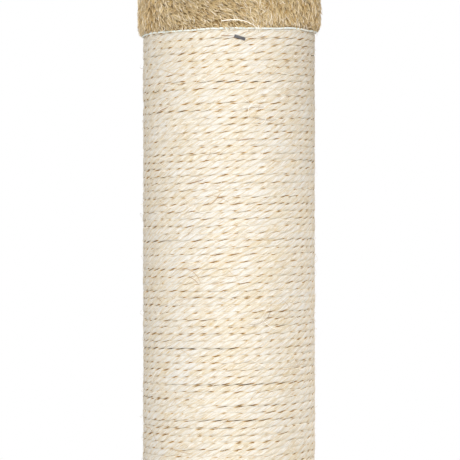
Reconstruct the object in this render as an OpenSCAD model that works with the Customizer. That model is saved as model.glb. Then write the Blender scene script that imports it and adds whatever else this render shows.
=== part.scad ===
// Three-level cat tree: sisal-wound posts with plush collars, plush-covered boards and a bolstered top bed.
// Millimetres. +Z is up, -Y is the front, and the origin is on the floor under the middle of the base.

/* [Posts] */
// Outside diameter of the cardboard post tubes
tube_od = 90; // [80:1:100]
// Wall thickness of the cardboard tubes
tube_wall = 4; // [3:0.5:6]
// Thickness of the sisal rope, which is also its pitch up the post
rope_d = 4; // [3:0.5:5]
// Length of a tall post's tube
tall_post = 450; // [410:10:600]
// Length of the short post's tube
short_post = 300; // [270:10:360]
// Visible height of the plush collar at the head of a post
head_collar = 90; // [60:5:110]
// Visible height of the plush collar at the foot of a post
foot_collar = 60; // [40:5:80]

/* [Boards] */
// Thickness of the particle boards
board = 16; // [15:1:22]
// Width of the base board
base_w = 600; // [560:10:700]
// Depth of the base board
base_d = 440; // [400:10:560]
// Width of the middle deck's board
deck_w = 560; // [540:10:660]
// Depth of the middle deck's board
deck_d = 400; // [380:10:500]
// Side of the square top bed's board
bed_w = 380; // [370:5:420]
// Diameter of the round perch's board
perch_d = 270; // [240:5:300]

/* [Plush] */
// Thickness of the plush with its pile standing
pile = 8; // [7:0.5:10]
// Thickness of the plush where a post presses it flat
pressed = 2; // [1:0.5:3]
// Diameter of the stuffed bolster round the top bed
bolster_d = 64; // [50:2:72]
// Thickness of the bed cushion
cushion_h = 30; // [20:2:40]

/* [Fasteners] */
// Thread diameter of the bolts and studs
thread_d = 8; // [6:1:10]
// Height of the rubber feet
foot_h = 4; // [3:0.5:8]

/* [Hidden] */
$fn = 96;

// Posts stand at these places in plan: front left, front right and rear middle.
post_x = 210;
front_y = -110;
rear_y = 115;
front_left = [-post_x, front_y];
front_right = [post_x, front_y];
rear = [0, rear_y];
bed_centre = (front_left + rear) / 2;
perch_off = [-45, 30];                  // of the perch's middle from its post, in towards the bed
perch_centre = front_right + perch_off;

// Heights of the boards' undersides and of the tubes' feet.
wrap_under = 1.5;                       // pressed plush stapled under the base
lip_w = 56;                             // how far it reaches in under the base
base_z = foot_h + wrap_under;
lower_z = base_z + board + pressed;
deck_z = lower_z + tall_post + pressed;
upper_z = deck_z + board + pressed;
bed_z = upper_z + tall_post + pressed;
perch_z = upper_z + short_post + pressed;

tube_r = tube_od / 2;
bore_r = tube_r - tube_wall;
rope_r = tube_r + rope_d;
collar_r = tube_r + pile;
clearance = 0.5;
seat_r = tube_r + clearance;            // pressed seat in the plush that a post's end stands in
seat_gap = pile - pressed;              // how deep that seat is
base_corner = 30;
deck_corner = 40;
bed_corner = 70;

plug_h = 18;
hole_r = thread_d / 2 + clearance;
thread_fit = 0.05;                      // play of a thread in its nut, on the radius
shank_r = thread_d / 2 - thread_fit;
nut_barrel_r = thread_d / 2 + 1;
nut_barrel_h = 11;
nut_flange_r = 11;
nut_flange_h = 1.5;
washer_r = 12;
washer_h = 1.6;
head_r = 7;
head_h = 4.5;
socket_af = 5;                          // hexagon key size, across flats
recess_r = washer_r + 1;
head_sunk = 0.9;                        // of a bolt head, below the base board's underside
recess_h = washer_h + head_h + head_sunk;
bolt_bite = 12;                         // thread that enters the nut

staple_w = 6.2;
staple_wire = 1.6;
staple_leg = 7;
staple_sunk = 0.5;                      // how much of its crown is pressed into the rope
staple_slack = 0.1;
staple_tilt = 17;
staple_drop = 5.7;                        // below the edge of the collar
staple_turn = 7;                        // degrees round from the front
foot_r = 16;
foot_inset = 34;

tan_wood = [0.80, 0.66, 0.46];
card = [0.66, 0.52, 0.36];
sisal = [0.91, 0.84, 0.70];
plush_tan = [0.73, 0.62, 0.44];
steel = [0.62, 0.63, 0.65];
rubber_black = [0.10, 0.10, 0.10];

// Each post: name, place in plan, height of the tube's foot, length of the tube.
posts = [
    ["lower_left", front_left, lower_z, tall_post],
    ["lower_right", front_right, lower_z, tall_post],
    ["lower_rear", rear, lower_z, tall_post],
    ["upper_left", front_left, upper_z, tall_post],
    ["upper_right", front_right, upper_z, short_post],
    ["upper_rear", rear, upper_z, tall_post],
];
post_parts = ["tube", "plugs", "rope", "head_collar", "foot_collar"];

// A board with round corners, standing on z = 0.
module rounded_plate(w, d, h, r) {
    translate([-w / 2 + r, -d / 2, 0]) cube([w - 2 * r, d, h]);
    translate([-w / 2, -d / 2 + r, 0]) cube([w, d - 2 * r, h]);
    for (x = [-1, 1], y = [-1, 1])
        translate([x * (w / 2 - r), y * (d / 2 - r), 0]) cylinder(r = r, h = h);
}

module at_place(p, z) translate([p[0], p[1], z]) children();

// A cylinder through everything between two heights, at a place in plan.
module hole(p, r, z0, z1) at_place(p, z0) cylinder(r = r, h = z1 - z0);

// ---- posts ----

module tube(p) {
    color(card) at_place(p[1], p[2]) difference() {
        cylinder(r = tube_r, h = p[3]);
        translate([0, 0, -1]) cylinder(r = bore_r, h = p[3] + 2);
        staple_pockets(p[3]);
    }
}

// Wooden discs glued in both ends of a tube, each bored for its tee nut.
module plugs(p) {
    color(tan_wood) at_place(p[1], p[2])
        for (end = [0, 1]) translate([0, 0, end * p[3]]) mirror([0, 0, end]) difference() {
            cylinder(r = bore_r, h = plug_h);
            translate([0, 0, -1]) cylinder(r = nut_barrel_r, h = plug_h + 2);
        }
}

function rope_start() = foot_collar + seat_gap;
function rope_length(tube_len) = tube_len - head_collar - foot_collar - 2 * seat_gap;

// The wound rope: one ring of rope for each turn, on a thin glued sleeve.
module rope(p) {
    len = rope_length(p[3]);
    turns = floor(len / rope_d);
    color(sisal) at_place(p[1], p[2]) difference() {
        translate([0, 0, rope_start()]) rotate_extrude() {
            translate([tube_r, 0]) square([rope_d / 2, len]);
            for (i = [0 : turns - 1])
                translate([tube_r + rope_d / 2, (i + 0.5) * len / turns]) circle(d = rope_d, $fn = 24);
        }
        staple_pockets(p[3]);
    }
}

module collar(p, z, h) {
    color(plush_tan) at_place(p[1], p[2] + z) difference() {
        cylinder(r = collar_r, h = h);
        translate([0, 0, -1]) cylinder(r = tube_r, h = h + 2);
    }
}

// A staple's place on a post, near the head and the foot of the rope.
module at_staples(tube_len) {
    z_low = rope_start() + staple_drop;
    z_high = rope_start() + rope_length(tube_len) - staple_drop;
    for (z = [z_low, z_high])
        rotate([0, 0, staple_turn]) translate([0, -rope_r, z]) rotate([0, staple_tilt, 0]) children();
}

module staple(slack) {
    w = staple_wire + slack;
    translate([-(staple_w + slack) / 2, -staple_wire / 2, -w / 2])
        cube([staple_w + slack, staple_wire / 2 + staple_sunk, w]);
    for (side = [-1, 1])
        translate([side * (staple_w - staple_wire) / 2 - w / 2, -staple_wire / 2, -w / 2])
            cube([w, staple_leg + slack, w]);
}

module staple_pockets(tube_len) at_staples(tube_len) staple(staple_slack);

module rope_staples() {
    color(steel) for (p = posts) at_place(p[1], p[2]) at_staples(p[3]) staple(0);
}

// ---- boards and their plush ----

module board_holes(places, z) for (p = places) hole(p, hole_r, z - 1, z + board + 1);

module base_board() {
    places = [front_left, front_right, rear];
    color(tan_wood) difference() {
        translate([0, 0, base_z]) rounded_plate(base_w, base_d, board, base_corner);
        board_holes(places, base_z);
        for (p = places) hole(p, recess_r, base_z - 1, base_z + recess_h);
    }
}

// Plush over the base, down its sides and stapled a little way in underneath.
module base_cover() {
    color(plush_tan) difference() {
        translate([0, 0, foot_h])
            rounded_plate(base_w + 2 * pile, base_d + 2 * pile, wrap_under + board + pile,
                          base_corner + pile);
        translate([0, 0, base_z]) rounded_plate(base_w, base_d, board, base_corner);
        translate([0, 0, foot_h - 1])
            rounded_plate(base_w - 2 * lip_w, base_d - 2 * lip_w, wrap_under + 2, base_corner);
        seats([front_left, front_right, rear], base_z + board);
    }
}

// The seats that post feet press in the plush on top of a board, and the bolt holes through them.
module seats(places, z) {
    for (p = places) {
        hole(p, seat_r, z + pressed, z + pile + 1);
        hole(p, hole_r, z - 1, z + pile + 1);
    }
}

module hung_seats(places, z) {
    for (p = places) {
        hole(p, seat_r, z - pile - 1, z - pressed);
        hole(p, hole_r, z - pile - 1, z + 1);
    }
}

module deck_board() {
    color(tan_wood) difference() {
        translate([0, 0, deck_z]) rounded_plate(deck_w, deck_d, board, deck_corner);
        board_holes([front_left, front_right, rear], deck_z);
    }
}

module deck_cover() {
    places = [front_left, front_right, rear];
    color(plush_tan) difference() {
        translate([0, 0, deck_z - pile])
            rounded_plate(deck_w + 2 * pile, deck_d + 2 * pile, board + 2 * pile, deck_corner + pile);
        translate([0, 0, deck_z]) rounded_plate(deck_w, deck_d, board, deck_corner);
        seats(places, deck_z + board);
        hung_seats(places, deck_z);
    }
}

module bed_board() {
    places = [front_left, rear];
    color(tan_wood) difference() {
        at_place(bed_centre, bed_z) rounded_plate(bed_w, bed_w, board, bed_corner);
        board_holes(places, bed_z);
    }
}

module bed_cover() {
    places = [front_left, rear];
    color(plush_tan) difference() {
        at_place(bed_centre, bed_z - pile)
            rounded_plate(bed_w + 2 * pile, bed_w + 2 * pile, board + 2 * pile, bed_corner + pile);
        at_place(bed_centre, bed_z) rounded_plate(bed_w, bed_w, board, bed_corner);
        hung_seats(places, bed_z);
        for (p = places) hole(p, washer_r + clearance, bed_z + board, bed_z + board + pile + 1);
    }
}

module perch_board() {
    color(tan_wood) difference() {
        at_place(perch_centre, perch_z) cylinder(d = perch_d, h = board);
        board_holes([front_right], perch_z);
    }
}

module perch_cover() {
    color(plush_tan) difference() {
        at_place(perch_centre, perch_z - pile) cylinder(d = perch_d + 2 * pile, h = board + 2 * pile);
        at_place(perch_centre, perch_z) cylinder(d = perch_d, h = board);
        hung_seats([front_right], perch_z);
        hole(front_right, washer_r + clearance, perch_z + board, perch_z + board + pile + 1);
    }
}

// ---- the top bed's soft parts ----

bed_top = bed_z + board + pile;
bolster_r = bolster_d / 2;
bolster_in = bed_w / 2 + pile - bolster_r;      // half the side of the square that its middle follows
bolster_bend = bed_corner + pile - bolster_r;   // radius of that square's corners
bolster_flat = 6;                               // how much of its underside is flattened
cushion_gap = 3;
cushion_corner = 40;

// A stuffed tube laid round the edge of the bed, flat underneath where it is sewn to the cover.
module bed_bolster() {
    run = 2 * (bolster_in - bolster_bend);
    color(plush_tan) at_place(bed_centre, bed_top) intersection() {
        translate([0, 0, bolster_r - bolster_flat]) for (q = [0 : 3]) rotate([0, 0, 90 * q]) {
            translate([bolster_in, -run / 2, 0]) rotate([-90, 0, 0]) cylinder(r = bolster_r, h = run);
            translate([run / 2, run / 2, 0])
                rotate_extrude(angle = 90) translate([bolster_bend, 0]) circle(r = bolster_r);
        }
        translate([-bed_w, -bed_w, 0]) cube([2 * bed_w, 2 * bed_w, 2 * bolster_d]);
    }
}

// A loose cushion on the floor of the bed.
module bed_cushion() {
    side = 2 * (bolster_in - bolster_r - cushion_gap);
    color(plush_tan) at_place(bed_centre, bed_top) rounded_plate(side, side, cushion_h, cushion_corner);
}

// ---- hardware ----

// Tee nuts in the plugs: the flange bears on the plug's inner face and the barrel fills its bore.
module tee_nut() {
    difference() {
        union() {
            cylinder(r = nut_flange_r, h = nut_flange_h);
            mirror([0, 0, 1]) cylinder(r = nut_barrel_r, h = nut_barrel_h);
        }
        translate([0, 0, -nut_barrel_h - 1]) cylinder(r = thread_d / 2, h = nut_barrel_h + nut_flange_h + 2);
    }
}

module tee_nuts() {
    color(steel) for (p = posts) at_place(p[1], p[2]) {
        translate([0, 0, plug_h]) tee_nut();
        translate([0, 0, p[3] - plug_h]) mirror([0, 0, 1]) tee_nut();
    }
}

// A button-head bolt pointing up, its head's bearing face on z = 0.
module bolt(shank) {
    difference() {
        union() {
            cylinder(r = shank_r, h = shank);
            translate([0, 0, -head_h]) cylinder(r = head_r, h = head_h);
        }
        translate([0, 0, -head_h - 1]) cylinder(r = socket_af / sqrt(3), h = head_h - 1, $fn = 6);
    }
}

bolt_reach = plug_h - nut_barrel_h + bolt_bite + pressed;   // from a board's far face into a nut

module base_bolts() {
    seat = base_z + recess_h - washer_h;
    color(steel) for (p = [front_left, front_right, rear])
        at_place(p, seat) bolt(base_z + board - seat + bolt_reach);
}

// Threaded studs through the deck, joining each lower post to the one above it.
module joining_studs() {
    length = board + 2 * bolt_reach;
    color(steel) for (p = [front_left, front_right, rear])
        at_place(p, deck_z + board / 2 - length / 2) cylinder(r = shank_r, h = length);
}

top_places = [[front_left, bed_z], [rear, bed_z], [front_right, perch_z]];

module top_bolts() {
    color(steel) for (t = top_places)
        at_place(t[0], t[1] + board + washer_h) mirror([0, 0, 1]) bolt(board + washer_h + bolt_reach);
}

module washer() {
    difference() {
        cylinder(r = washer_r, h = washer_h);
        translate([0, 0, -1]) cylinder(r = hole_r, h = washer_h + 2);
    }
}

module washers() {
    color(steel) {
        for (p = [front_left, front_right, rear]) at_place(p, base_z + recess_h - washer_h) washer();
        for (t = top_places) at_place(t[0], t[1] + board) washer();
    }
}

module feet() {
    x = base_w / 2 - foot_inset;
    y = base_d / 2 - foot_inset;
    color(rubber_black) for (sx = [-1, 0, 1], sy = [-1, 1])
        translate([sx * x, sy * y, 0]) cylinder(r = foot_r, h = foot_h);
}

for (p = posts) {
    tube(p);
    plugs(p);
    rope(p);
    collar(p, p[3] - seat_gap - head_collar, head_collar);
    collar(p, seat_gap, foot_collar);
}
base_board();
base_cover();
deck_board();
deck_cover();
bed_board();
bed_cover();
perch_board();
perch_cover();
bed_bolster();
bed_cushion();
tee_nuts();
base_bolts();
joining_studs();
top_bolts();
washers();
rope_staples();
feet();
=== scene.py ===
import itertools
import math

import bpy
import numpy as np
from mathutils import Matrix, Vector


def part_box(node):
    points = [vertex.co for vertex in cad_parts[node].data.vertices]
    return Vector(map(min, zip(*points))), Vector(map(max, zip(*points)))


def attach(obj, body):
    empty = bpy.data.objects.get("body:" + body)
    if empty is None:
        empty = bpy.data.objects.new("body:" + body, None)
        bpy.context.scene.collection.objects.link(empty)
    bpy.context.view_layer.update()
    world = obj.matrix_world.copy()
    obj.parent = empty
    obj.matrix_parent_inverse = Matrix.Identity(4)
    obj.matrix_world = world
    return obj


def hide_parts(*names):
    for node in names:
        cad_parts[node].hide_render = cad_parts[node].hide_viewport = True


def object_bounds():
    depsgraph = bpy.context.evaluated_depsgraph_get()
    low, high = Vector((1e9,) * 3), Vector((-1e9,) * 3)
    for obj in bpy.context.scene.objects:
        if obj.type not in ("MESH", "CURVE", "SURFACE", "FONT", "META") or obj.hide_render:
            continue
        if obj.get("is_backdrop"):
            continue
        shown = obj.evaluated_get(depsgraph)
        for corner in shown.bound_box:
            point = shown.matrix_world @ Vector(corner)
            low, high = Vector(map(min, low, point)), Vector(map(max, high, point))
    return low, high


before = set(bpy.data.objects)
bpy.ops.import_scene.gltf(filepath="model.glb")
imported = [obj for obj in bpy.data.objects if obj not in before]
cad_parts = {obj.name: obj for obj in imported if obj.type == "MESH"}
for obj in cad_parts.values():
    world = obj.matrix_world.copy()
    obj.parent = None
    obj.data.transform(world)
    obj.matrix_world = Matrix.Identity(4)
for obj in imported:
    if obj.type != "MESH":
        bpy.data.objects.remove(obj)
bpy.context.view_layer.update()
mm = 0.001

# ---------------- places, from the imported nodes
POSTS = ["lower_left", "lower_right", "lower_rear", "upper_left", "upper_right", "upper_rear"]
HERO = "lower_left"


def node_box(name):
    low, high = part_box(name)
    return np.array(low), np.array(high)


post = {}
for name in POSTS:
    low, high = node_box(name + "_head_collar")
    foot_low, foot_high = node_box(name + "_foot_collar")
    post[name] = {
        "x": float(low[0] + high[0]) / 2,
        "y": float(low[1] + high[1]) / 2,
        "head": (float(low[2]), float(high[2])),
        "foot": (float(foot_low[2]), float(foot_high[2])),
        "rope": (float(foot_high[2]), float(low[2])),
    }
TUBE_R = 45 * mm
ROPE_D = 4 * mm
ROPE_R = TUBE_R + ROPE_D

# ---------------- camera
hero = post[HERO]
CAMERA_BACK = 1.566
CAMERA_SIDE = 0.6 * mm
CAMERA_DROP = 112.3 * mm  # below the edge of the hero's head collar
camera_data = bpy.data.cameras.new("camera")
camera = bpy.data.objects.new("camera", camera_data)
bpy.context.scene.collection.objects.link(camera)
camera_data.sensor_width = 36
camera_data.lens = 214.5
camera_data.clip_start = 0.05
camera_data.clip_end = 50
camera.location = (hero["x"] + CAMERA_SIDE, hero["y"] - CAMERA_BACK, hero["head"][0] - CAMERA_DROP)
camera.rotation_euler = (math.pi / 2, 0, 0)
bpy.context.scene.camera = camera

# ---------------- light
scene = bpy.context.scene
scene.view_settings.view_transform = "Standard"
scene.view_settings.look = "None"
scene.view_settings.exposure = 0
scene.view_settings.gamma = 1
world = bpy.data.worlds.new("studio")
world.use_nodes = True
scene.world = world


def softbox(name, place, aim, size, energy):
    data = bpy.data.lights.new(name, "AREA")
    data.shape = "DISK"
    data.size = size
    data.energy = energy
    data.color = (0.97, 0.985, 1.0)
    lamp = bpy.data.objects.new(name, data)
    scene.collection.objects.link(lamp)
    lamp.location = place
    lamp.rotation_mode = "QUATERNION"
    lamp.rotation_quaternion = (Vector(aim) - Vector(place)).to_track_quat("-Z", "Y")


softbox("key", (-0.22, -3.6, 1.6), (-0.1, 0, 0.4), 1.5, 105)
softbox("fill", (2.4, 2.0, 1.5), (0, 0, 0.5), 1.6, 95)

# ---------------- noise and mesh helpers


def hashed(cell, shift, mask):
    """A number from 0 to mask for each cell of a grid in three dimensions."""
    key = cell[:, 0] * 73856093 ^ cell[:, 1] * 19349663 ^ cell[:, 2] * 83492791
    return (key ^ (key >> shift)) & mask


def smooth_noise(points, size, seed, octaves=1):
    """Value noise in three dimensions, about -1 to 1, with features of the given size in metres."""
    total, weight = np.zeros(len(points)), 0.0
    for octave in range(octaves):
        table = np.random.default_rng(seed + 101 * octave).uniform(-1, 1, 4096)
        q = points / (size / 2**octave) + 57.3
        cell = np.floor(q).astype(np.int64)
        f = q - cell
        f = f * f * (3 - 2 * f)
        value = np.zeros(len(points))
        for corner in itertools.product((0, 1), repeat=3):
            part = table[hashed(cell + corner, 13, 4095)]
            for axis, far in enumerate(corner):
                part = part * (f[:, axis] if far else 1 - f[:, axis])
            value += part
        total += value * 0.5**octave
        weight += 0.5**octave
    return total / weight


def unit(v):
    return v / np.maximum(np.linalg.norm(v, axis=1, keepdims=True), 1e-12)


def make_mesh(name, verts, faces, material, uv=None, attributes=None):
    """faces is one array of polygons with as many corners each, or a list of them. uv is per corner."""
    groups = faces if isinstance(faces, list) else [faces]
    mesh = bpy.data.meshes.new(name)
    mesh.vertices.add(len(verts))
    mesh.vertices.foreach_set("co", np.asarray(verts, np.float32).ravel())
    corners = np.concatenate([g.ravel() for g in groups]).astype(np.int32)
    sizes = np.concatenate([np.full(len(g), g.shape[1], np.int32) for g in groups])
    mesh.loops.add(len(corners))
    mesh.loops.foreach_set("vertex_index", corners)
    mesh.polygons.add(len(sizes))
    mesh.polygons.foreach_set("loop_start", np.concatenate([[0], np.cumsum(sizes)[:-1]]).astype(np.int32))
    mesh.polygons.foreach_set("use_smooth", np.ones(len(sizes), bool))
    if uv is not None:
        layer = mesh.uv_layers.new(name="OFBake")
        layer.data.foreach_set("uv", np.asarray(uv, np.float32).ravel())
    for key, values in (attributes or {}).items():
        made = mesh.attributes.new(key, "FLOAT_VECTOR", "POINT")
        made.data.foreach_set("vector", np.asarray(values, np.float32).ravel())
    mesh.update(calc_edges=True)
    mesh.validate()
    mesh.materials.append(material)
    made = bpy.data.objects.new(name, mesh)
    scene.collection.objects.link(made)
    return made


def settle(piece, node=None):
    """Put a piece on the only body, as what shows instead of a CAD node if one is named."""
    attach(piece, "root")
    if node:
        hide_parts(node)
    return piece


def grid_faces(rows, columns, wrap_columns=False, wrap_rows=False):
    """Quads over a rows by columns grid of vertices."""
    r = np.arange(rows if wrap_rows else rows - 1)
    c = np.arange(columns if wrap_columns else columns - 1)
    r, c = np.meshgrid(r, c, indexing="ij")
    r2, c2 = (r + 1) % rows, (c + 1) % columns
    quads = np.stack([r * columns + c, r * columns + c2, r2 * columns + c2, r2 * columns + c], -1)
    return quads.reshape(-1, 4)


def mesh_arrays(obj):
    """Vertices and triangles of an object's mesh, modifiers included, as numpy arrays."""
    now = bpy.context.evaluated_depsgraph_get()
    mesh = obj.evaluated_get(now).to_mesh()
    mesh.calc_loop_triangles()
    co = np.empty(len(mesh.vertices) * 3, np.float32)
    mesh.vertices.foreach_get("co", co)
    tri = np.empty(len(mesh.loop_triangles) * 3, np.int32)
    mesh.loop_triangles.foreach_get("vertices", tri)
    normal = np.empty(len(mesh.vertices) * 3, np.float32)
    mesh.vertex_normals.foreach_get("vector", normal)
    obj.evaluated_get(now).to_mesh_clear()
    return co.reshape(-1, 3).astype(float), tri.reshape(-1, 3), normal.reshape(-1, 3).astype(float)


# ---------------- materials


class Tree:
    """Short names for building nodes, in a new material unless a node tree is given."""

    def __init__(self, name, tree=None):
        if tree is None:
            self.material = bpy.data.materials.new(name)
            self.material.use_nodes = True
            tree = self.material.node_tree
            self.shader = tree.nodes["Principled BSDF"]
        self.nodes, self.links = tree.nodes, tree.links

    def add(self, kind, **values):
        node = self.nodes.new(kind)
        for key, value in values.items():
            setattr(node, key, value)
        return node

    def link(self, a, b):
        self.links.new(a, b)

    def put(self, socket, value):
        if isinstance(value, bpy.types.NodeSocket):
            self.link(value, socket)
        else:
            socket.default_value = value

    def fill(self, node, **values):
        """Set a node's inputs by name, with _ for a space."""
        for key, value in values.items():
            self.put(node.inputs[key.replace("_", " ")], value)
        return node

    def parts(self, vector):
        return self.fill(self.add("ShaderNodeSeparateXYZ"), Vector=vector).outputs

    def attribute(self, name):
        return self.add("ShaderNodeAttribute", attribute_name=name).outputs["Vector"]

    def hair(self):
        """A ribbon's own UV: X is its shade, and Y runs from its root to its tip."""
        return self.parts(self.add("ShaderNodeUVMap", uv_map="OFBake").outputs["UV"])

    def place(self, source=None, scale=(1, 1, 1)):
        """Coordinates, scaled: the object's own unless a source is given."""
        if source is None:
            source = self.add("ShaderNodeTexCoord").outputs["Object"]
        return self.fill(self.add("ShaderNodeMapping"), Vector=source, Scale=scale).outputs["Vector"]

    def noise(self, vector, scale, detail=3.0, rough=0.55):
        node = self.add("ShaderNodeTexNoise")
        return self.fill(node, Vector=vector, Scale=scale, Detail=detail, Roughness=rough).outputs["Fac"]

    def chance(self, number):
        """A random value from 0 to 1 for each whole number."""
        node = self.add("ShaderNodeTexWhiteNoise", noise_dimensions="1D")
        return self.fill(node, W=self.math("FLOOR", number)).outputs["Value"]

    def math(self, operation, a, b=0.0):
        node = self.add("ShaderNodeMath", operation=operation)
        self.put(node.inputs[0], a)
        self.put(node.inputs[1], b)
        return node.outputs[0]

    def remap(self, value, low, high, to_low=0.0, to_high=1.0):
        node = self.add("ShaderNodeMapRange")
        self.fill(node, Value=value, From_Min=low, From_Max=high, To_Min=to_low, To_Max=to_high)
        return node.outputs["Result"]

    def ramp(self, value, stops):
        node = self.add("ShaderNodeValToRGB")
        while len(node.color_ramp.elements) < len(stops):
            node.color_ramp.elements.new(0.5)
        for element, (at, color) in zip(node.color_ramp.elements, stops):
            element.position = at
            element.color = (*color, 1)
        return self.fill(node, Fac=value).outputs["Color"]

    def mix(self, amount, a, b, blend="MIX"):
        node = self.add("ShaderNodeMix", data_type="RGBA", blend_type=blend)
        self.put(node.inputs["Factor"], amount)
        self.put(node.inputs["A"], a if isinstance(a, bpy.types.NodeSocket) else (*a, 1))
        self.put(node.inputs["B"], b if isinstance(b, bpy.types.NodeSocket) else (*b, 1))
        return node.outputs["Result"]

    def bump(self, height, strength, distance):
        node = self.fill(self.add("ShaderNodeBump"), Height=height, Strength=strength, Distance=distance)
        self.link(node.outputs["Normal"], self.shader.inputs["Normal"])

    def finish(self, color, roughness=0.7, **sockets):
        self.fill(self.shader, Base_Color=color, Roughness=roughness, **sockets)
        return self.material


def studio_dome():
    """White all round where it is seen. As light it is dimmer from the two sides, to shape round things."""
    t = Tree("studio", world.node_tree)
    seen = t.fill(t.nodes["Background"], Color=(1, 1, 1, 1), Strength=1.0)
    sideways = t.math("ABSOLUTE", t.parts(t.add("ShaderNodeTexCoord").outputs["Generated"])["X"])
    strength = t.remap(sideways, 0.30, 1.0, 0.90, 0.73)
    light = t.fill(t.add("ShaderNodeBackground"), Color=(1.0, 0.957, 0.893, 1), Strength=strength)
    camera_ray = t.add("ShaderNodeLightPath").outputs["Is Camera Ray"]
    mix = t.add("ShaderNodeMixShader")
    for socket, source in zip(mix.inputs, (camera_ray, light.outputs[0], seen.outputs[0])):
        t.link(source, socket)
    t.link(mix.outputs[0], t.nodes["World Output"].inputs["Surface"])


studio_dome()


def srgb(r, g, b):
    """Linear colour of 0 to 255 screen values."""
    return tuple((c / 255 / 12.92) if c <= 10 else ((c / 255 + 0.055) / 1.055) ** 2.4 for c in (r, g, b))


def sisal_material():
    """The mesh's lay is the count of strands passed and the quarter turns round from the rope's front;
    its fibre is metres along and across."""
    t = Tree("sisal")
    lay = t.parts(t.attribute("lay"))
    strands, edge = lay["X"], lay["Y"]
    shifted = t.math("ADD", strands, 0.5)
    groove = t.math("MULTIPLY", t.math("ABSOLUTE", t.math("SUBTRACT", t.math("FRACT", shifted), 0.5)), 2.0)
    own, pit = t.chance(shifted), t.chance(strands)
    fibre_place = t.attribute("fibre")
    streak = t.noise(t.place(fibre_place, (170, 1250, 1)), 1.0, 4.0, 0.62)
    fine = t.noise(t.place(fibre_place, (260, 2100, 1)), 1.0, 2.0, 0.6)
    blotch = t.noise(t.place(), 55.0, 3.0, 0.6)
    body = t.mix(t.remap(blotch, 0.35, 0.65), srgb(217, 215, 210), srgb(215, 209, 197))
    body = t.mix(t.remap(own, 0.5, 1.0, 0.0, 0.4), body, srgb(209, 193, 157))
    body = t.mix(t.remap(streak, 0.48, 0.70, 0.0, 0.9), body, srgb(193, 163, 99))
    body = t.mix(t.remap(fine, 0.50, 0.66, 0.0, 0.85), body, srgb(234, 232, 228))
    # painted light: a lighter cream in the valley where one row meets the next, away from the strand grooves,
    # lifting the shade that falls there
    between = t.math("MULTIPLY", t.remap(edge, 0.50, 0.64), t.remap(groove, 0.50, 0.70, 0.45, 0.0))
    body = t.mix(between, body, srgb(235, 227, 208))
    # painted shade: a golden tint deep in the grooves between strands
    body = t.mix(t.remap(groove, 0.75, 1.0, 0.0, 0.3), body, srgb(230, 196, 118))
    # painted shade: golden dashes in the gaps where a strand groove meets the next row, left out on some
    # strands at random
    often = t.remap(pit, 0.1, 0.6)
    golden_gap_shade = t.math("MULTIPLY", t.remap(groove, 0.50, 0.76), t.remap(edge, 0.43, 0.56))
    body = t.mix(t.math("MULTIPLY", golden_gap_shade, often), body, srgb(206, 156, 42))
    # painted shade: dark brown in the deepest gaps, where a strand groove meets the next row, on some strands
    # at random
    dark = t.math("MULTIPLY", t.remap(groove, 0.64, 0.88), t.remap(edge, 0.48, 0.60))
    dark = t.math("MULTIPLY", dark, t.remap(pit, 0.15, 0.65))
    body = t.mix(dark, body, srgb(112, 72, 4))
    t.bump(t.math("SUBTRACT", fine, streak), 0.65, 0.0009)
    return t.finish(body, 0.6, Specular_IOR_Level=0.4)


def pile_material(name, root, middle, tip):
    t = Tree(name)
    hair = t.hair()
    along = t.ramp(hair["Y"], [(0.0, root), (0.45, middle), (1.0, tip)])
    dark = t.ramp(hair["X"], [(0.0, (0.74, 0.61, 0.42)), (0.5, (1, 1, 1)), (0.93, (1.18, 1.24, 1.42))])
    body = t.mix(1.0, along, dark, "MULTIPLY")
    return t.finish(body, 0.62, Specular_IOR_Level=0.3, Sheen_Weight=0.4, Sheen_Roughness=0.5,
                    Sheen_Tint=(0.95, 0.86, 0.70, 1))


def backing_material(name, dark, light):
    t = Tree(name)
    tuft = t.noise(t.place(), 420.0, 3.0, 0.6)
    patch = t.noise(t.place(), 26.0, 2.0, 0.5)
    body = t.mix(t.remap(tuft, 0.3, 0.7), dark, light)
    body = t.mix(t.remap(patch, 0.3, 0.7, 0.0, 0.35), body, dark)
    t.bump(tuft, 0.7, 0.0012)
    return t.finish(body, 0.9, Specular_IOR_Level=0.15, Sheen_Weight=0.25, Sheen_Roughness=0.5)


def metal_material(name, color, rough, metallic):
    t = Tree(name)
    wear = t.noise(t.place(), 240.0, 4.0, 0.6)
    body = t.mix(t.remap(wear, 0.35, 0.7), color, tuple(c * 0.72 for c in color))
    t.bump(wear, 0.15, 0.0002)
    return t.finish(body, t.remap(wear, 0.3, 0.7, rough - 0.06, rough + 0.1), Metallic=metallic)


def wood_material():
    t = Tree("particle_board")
    chips = t.fill(t.add("ShaderNodeTexVoronoi"), Vector=t.place(scale=(1, 1, 3)), Scale=420.0)
    red = t.fill(t.add("ShaderNodeSeparateColor"), Color=chips.outputs["Color"]).outputs["Red"]
    body = t.ramp(red, [(0.0, srgb(120, 88, 54)), (0.4, srgb(178, 144, 98)), (1.0, srgb(214, 186, 140))])
    body = t.mix(t.remap(t.noise(t.place(), 30.0), 0.35, 0.65, 0.0, 0.3), body, srgb(150, 116, 74))
    t.bump(chips.outputs["Distance"], 0.25, 0.0004)
    return t.finish(body, 0.75, Specular_IOR_Level=0.2)


def card_material():
    t = Tree("kraft_card")
    ply = t.noise(t.place(scale=(60, 60, 900)), 1.0, 3.0, 0.5)
    body = t.mix(t.remap(ply, 0.35, 0.65), srgb(150, 112, 72), srgb(176, 138, 94))
    t.bump(ply, 0.2, 0.0002)
    return t.finish(body, 0.85, Specular_IOR_Level=0.15)


def rubber_material():
    t = Tree("rubber")
    pit = t.noise(t.place(), 900.0, 2.0, 0.5)
    t.bump(pit, 0.3, 0.0002)
    return t.finish(t.mix(pit, (0.018, 0.018, 0.019), (0.03, 0.03, 0.031)), 0.7, Specular_IOR_Level=0.35)


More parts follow.
